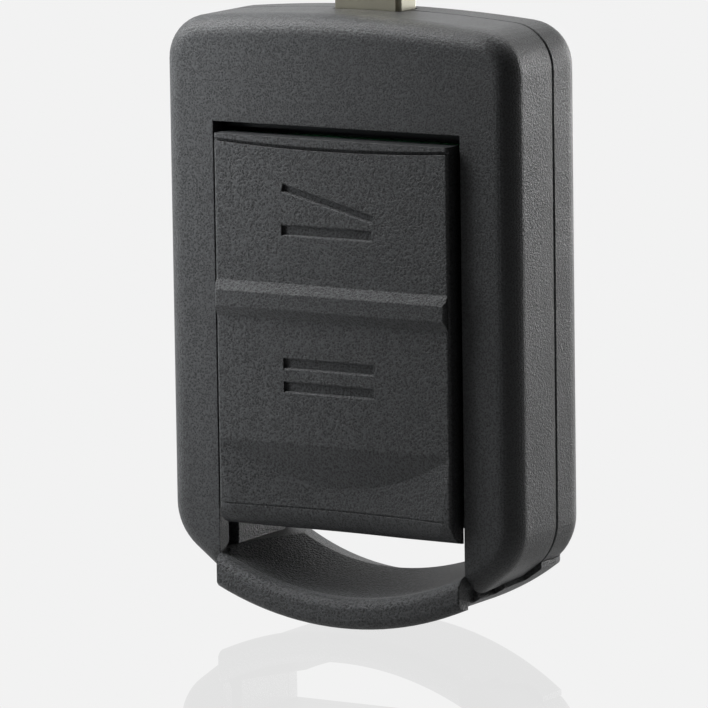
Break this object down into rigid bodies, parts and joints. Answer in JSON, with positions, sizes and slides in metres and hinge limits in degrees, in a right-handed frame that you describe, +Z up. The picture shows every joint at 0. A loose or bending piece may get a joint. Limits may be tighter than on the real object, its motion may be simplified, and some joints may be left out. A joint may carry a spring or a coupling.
{
  "type": "car key fob",
  "caption": "Car remote key with a slab-sided plastic case, a rocker bar with engraved lock symbols, a slotted key ring bow and a fixed milled blade.",
  "frame": {"origin": "on the bottom plane, below the middle of the case and level with the foot of the key ring bow", "axes": "+Z runs up along the key from the ring bow to the blade's tip, the buttons face -Y, +X is to the right of someone who looks at the buttons"},
  "size_m": [0.036, 0.0142, 0.0966],
  "materials": {
    "shell_plastic": "fine spark-eroded texture",
    "frame_plastic": "as moulded",
    "bow_plastic": "coarse spark-eroded texture",
    "button_plastic": "coarse spark-eroded texture",
    "mat_rubber": "moulded silicone",
    "board_laminate": "solder mask over glass laminate",
    "cell_steel": "nickel plated",
    "seal_nylon": "moulded",
    "contact_bronze": "stamped",
    "chip_resin": "moulded epoxy",
    "part_steel": "stamped, plated",
    "copper_wire": "enamelled copper",
    "capacitor_resin": "moulded epoxy",
    "chip_ceramic": "fired ceramic",
    "copper_track": "etched copper",
    "plunger_acetal": "moulded",
    "blade_steel": "nickel silver, milled"
  },
  "bodies": {
    "case": {"rear_shell": "shell_plastic", "chassis": "frame_plastic", "key_ring_bow": "bow_plastic", "key_mat": "mat_rubber", "circuit_board": "board_laminate", "open_switch_base": "chip_resin", "open_switch_cover": "part_steel", "open_switch_dome": "part_steel", "shut_switch_base": "chip_resin", "shut_switch_cover": "part_steel", "shut_switch_dome": "part_steel", "cell_can": "cell_steel", "cell_seal": "seal_nylon", "cell_cap": "cell_steel", "plus_contact": "contact_bronze", "minus_contact": "contact_bronze", "microcontroller": "chip_resin", "resonator_can": "part_steel", "quartz_crystal": "part_steel", "tuning_coil": "copper_wire", "buffer_capacitor": "capacitor_resin", "chip_components": "chip_ceramic", "antenna_loop": "copper_track", "transponder_chip": "chip_resin", "key_blade": "blade_steel", "tang_pin": "part_steel"},
    "front_cover": {"front_shell": "shell_plastic"},
    "rocker": {"button_rocker": "button_plastic"},
    "open_plunger": {"open_switch_plunger": "plunger_acetal"},
    "shut_plunger": {"shut_switch_plunger": "plunger_acetal"}
  },
  "joints": [
    {"name": "cover_lift", "type": "slide", "parent": "case", "child": "front_cover", "axis": [0, -1, 0], "range_m": [0, 0.015]},
    {"name": "rocker_tilt", "type": "hinge", "parent": "front_cover", "child": "rocker", "pos_m": [0, -0.00317, 0.029], "axis": [-1, 0, 0], "range_deg": [-2.2, 2.2], "stiffness_Nm_per_rad": 0.05, "deforming": ["key_mat"]},
    {"name": "open_switch_travel", "type": "slide", "parent": "case", "child": "open_plunger", "axis": [0, 1, 0], "range_m": [0, 0.00025], "stiffness_N_per_m": 50, "deforming": ["open_switch_dome"]},
    {"name": "shut_switch_travel", "type": "slide", "parent": "case", "child": "shut_plunger", "axis": [0, 1, 0], "range_m": [0, 0.00025], "stiffness_N_per_m": 50, "deforming": ["shut_switch_dome"]}
  ]
}
